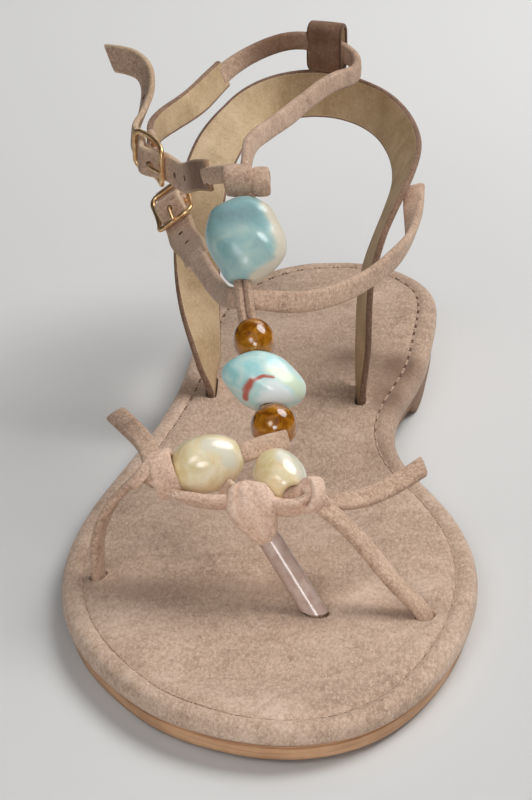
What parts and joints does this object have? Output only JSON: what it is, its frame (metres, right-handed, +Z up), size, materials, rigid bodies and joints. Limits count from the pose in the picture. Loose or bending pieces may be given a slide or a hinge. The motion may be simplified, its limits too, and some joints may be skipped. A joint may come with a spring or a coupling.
{
  "type": "beaded thong sandal",
  "caption": "Flat open thong sandal for the right foot: suede footbed and cord straps, a beaded instep, a heel band and two buckled straps.",
  "frame": {"origin": "on the floor under the middle of the sole's length and width", "axes": "+Y towards the toe, +X towards the outer side of the right foot, +Z up"},
  "size_m": [0.0923, 0.252, 0.0892],
  "materials": {
    "suede": "taupe suede with a short nap",
    "outsole_rubber": "tan, satin",
    "clear_sleeve": "clear, glossy",
    "cream_stone": "polished",
    "amber_glass": "polished",
    "teal_stone": "polished",
    "gold_metal": "polished"
  },
  "bodies": {
    "root": {"outsole": "outsole_rubber", "footbed": "suede", "toe_post_sleeve": "clear_sleeve", "thong_strap": "suede", "instep_strap": "suede", "heel_band": "suede", "ankle_strap": "suede", "ankle_tongue": "suede", "bead_cream_outer": "cream_stone", "bead_cream_inner": "cream_stone", "bead_amber_lower": "amber_glass", "bead_marbled": "teal_stone", "bead_amber_upper": "amber_glass", "bead_teal": "teal_stone", "upper_buckle_frame": "gold_metal", "upper_buckle_prong": "gold_metal", "lower_buckle_frame": "gold_metal", "lower_buckle_prong": "gold_metal"}
  },
  "joints": []
}
